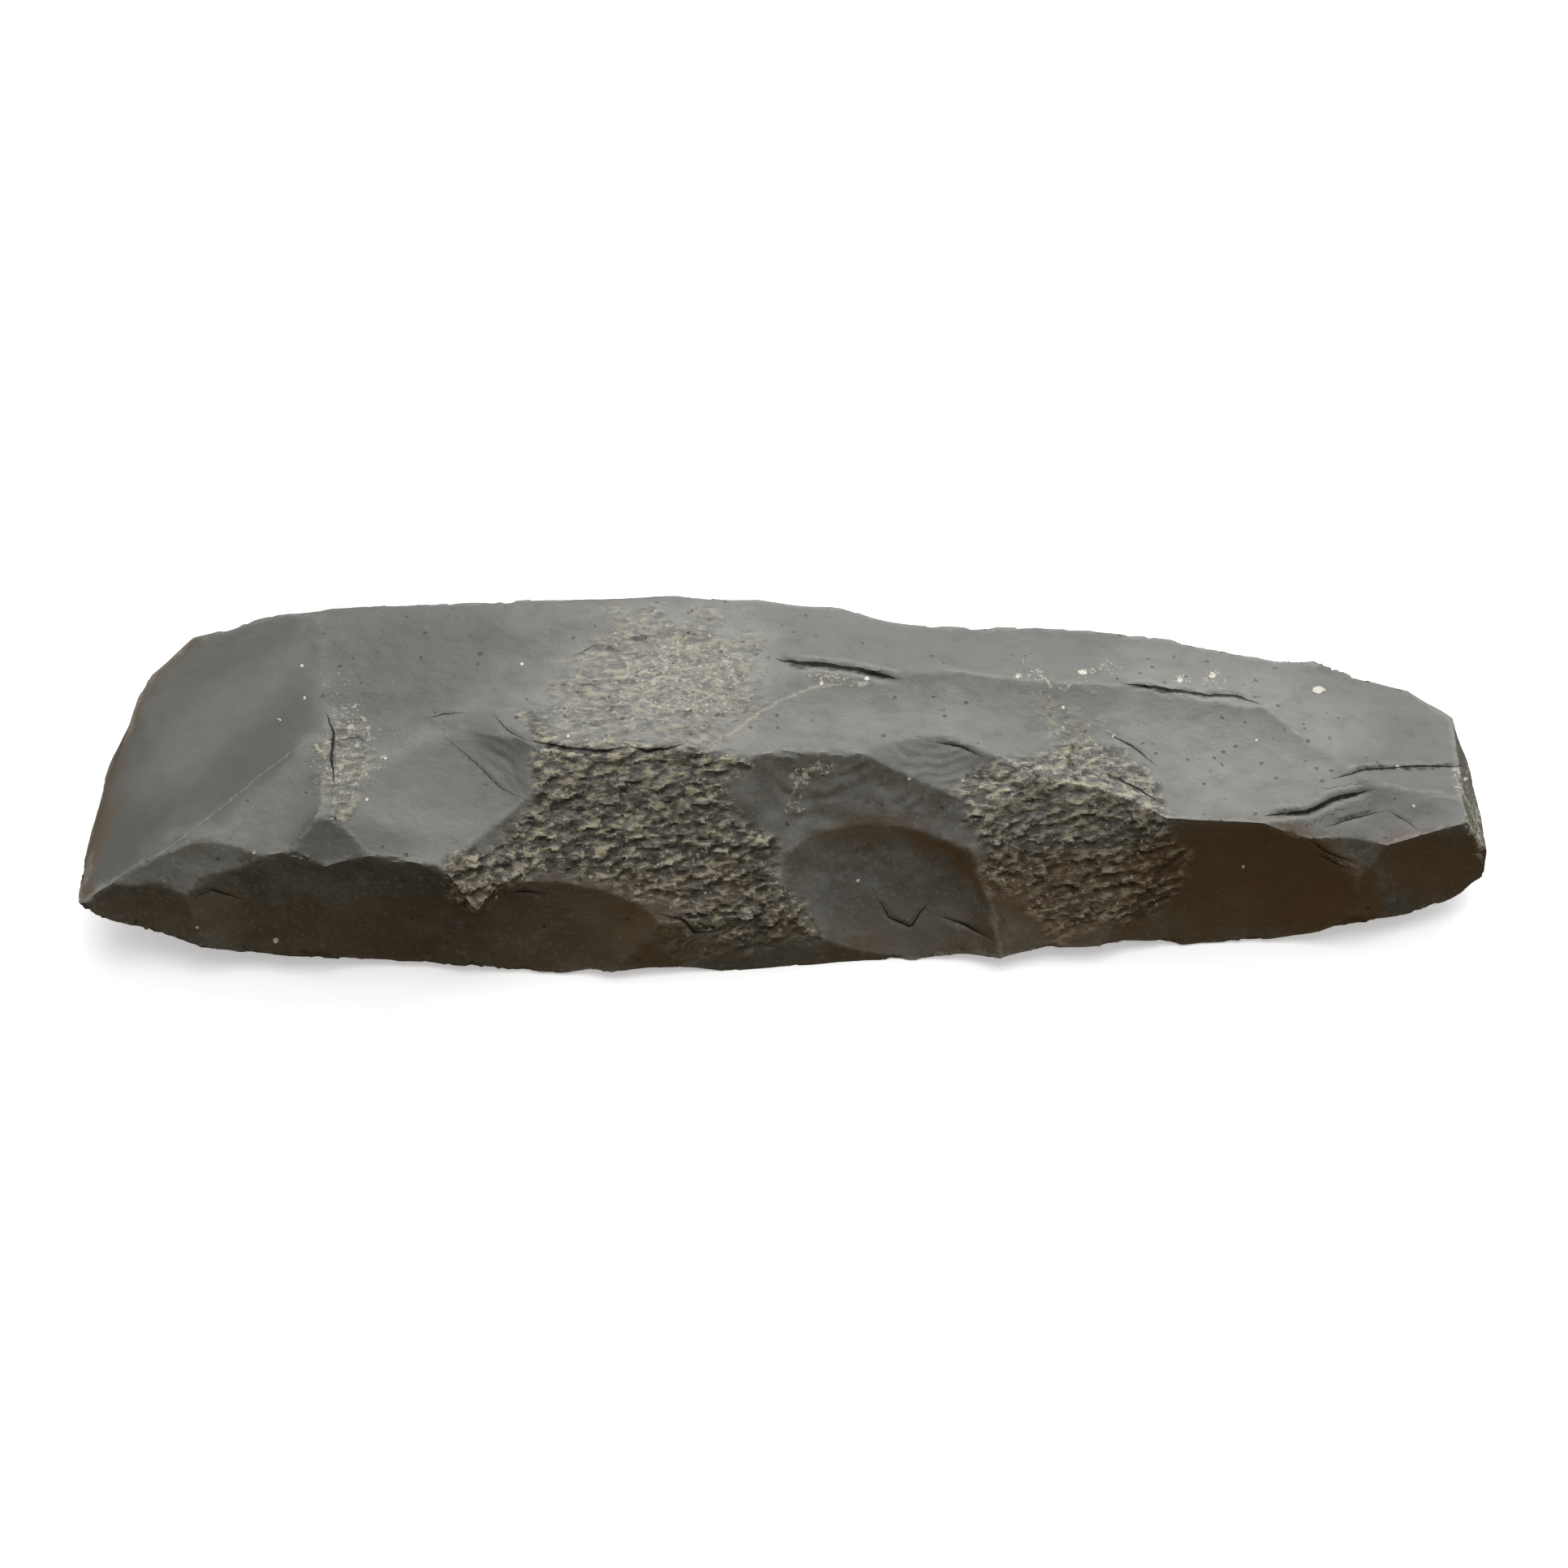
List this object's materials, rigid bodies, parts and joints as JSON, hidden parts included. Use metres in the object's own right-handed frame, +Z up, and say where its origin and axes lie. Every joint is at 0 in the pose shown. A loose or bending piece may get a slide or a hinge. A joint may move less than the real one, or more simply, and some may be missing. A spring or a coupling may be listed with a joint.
{
  "type": "stone adze blade",
  "caption": "Knapped basalt adze blade lying on its front face, with a ground bevel, flaked and pecked flanks and a narrower poll.",
  "frame": {"origin": "middle of the blade's box, at the height of the surface that it lies on", "axes": "+X from the cutting edge to the poll, +Y to the flank away from the viewer, +Z up through the thickness"},
  "size_m": [0.1772, 0.0502, 0.0231],
  "materials": {
    "basalt": "fine-grained dark grey stone, matt where flaked and pecked, smoother on the ground bevel"
  },
  "bodies": {
    "root": {"adze_blade": "basalt"}
  },
  "joints": []
}
